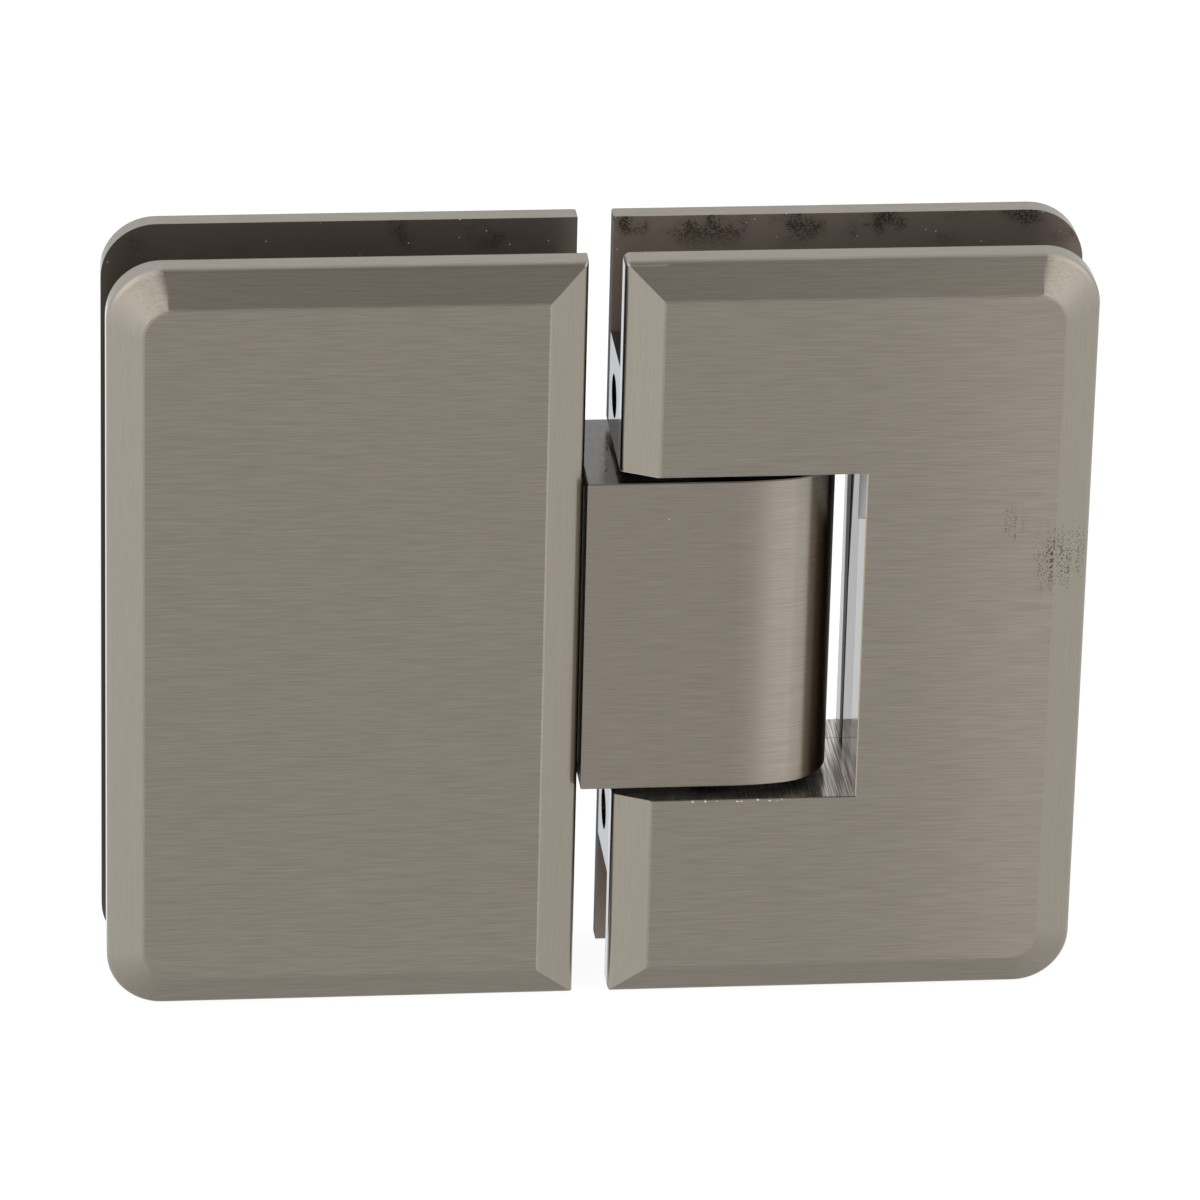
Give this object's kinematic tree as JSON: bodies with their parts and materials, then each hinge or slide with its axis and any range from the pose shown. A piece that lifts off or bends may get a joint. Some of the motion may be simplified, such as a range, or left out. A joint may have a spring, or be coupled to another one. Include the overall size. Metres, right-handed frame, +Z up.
{
  "type": "shower door hinge",
  "caption": "Glass-to-glass shower hinge: a plain bevelled leaf and a C-notched leaf turn on a pin in a rounded knuckle, each clamping glass between front and rear plates.",
  "frame": {"origin": "middle of the closed hinge, half way between the front and rear plates", "axes": "+X from the fixed leaf to the door leaf, +Y from the front plates to the rear plates, +Z up along the pin"},
  "size_m": [0.11, 0.0204, 0.09],
  "materials": {
    "brushed_nickel": "brushed nickel plate",
    "bright_nickel": "bright nickel plate",
    "clear_vinyl": "clear soft sheet",
    "stainless": "bare stainless",
    "black_steel": "black oxide",
    "nylon": "black nylon"
  },
  "bodies": {
    "fixed_leaf": {"left_front_plate": "brushed_nickel", "left_rear_plate": "brushed_nickel", "left_front_gasket": "clear_vinyl", "left_rear_gasket": "clear_vinyl", "pivot_body": "brushed_nickel", "tongue_screws": "stainless", "left_clamp_screws": "stainless", "upper_pin_bush": "nylon", "lower_pin_bush": "nylon", "upper_detent_plunger": "stainless", "lower_detent_plunger": "stainless", "upper_detent_spring": "stainless", "lower_detent_spring": "stainless", "spring_plugs": "black_steel"},
    "door_leaf": {"right_front_plate": "brushed_nickel", "right_rear_plate": "brushed_nickel", "right_front_gasket": "clear_vinyl", "right_rear_gasket": "clear_vinyl", "pin_carrier": "bright_nickel", "carrier_screws": "stainless", "right_clamp_screws": "stainless", "hinge_pin": "stainless", "upper_set_screw": "black_steel", "lower_set_screw": "black_steel"}
  },
  "joints": [
    {"name": "door_swing", "type": "hinge", "parent": "fixed_leaf", "child": "door_leaf", "pos_m": [0.0184, 0, 0], "axis": [0, 0, 1], "range_deg": [-90, 90]}
  ]
}
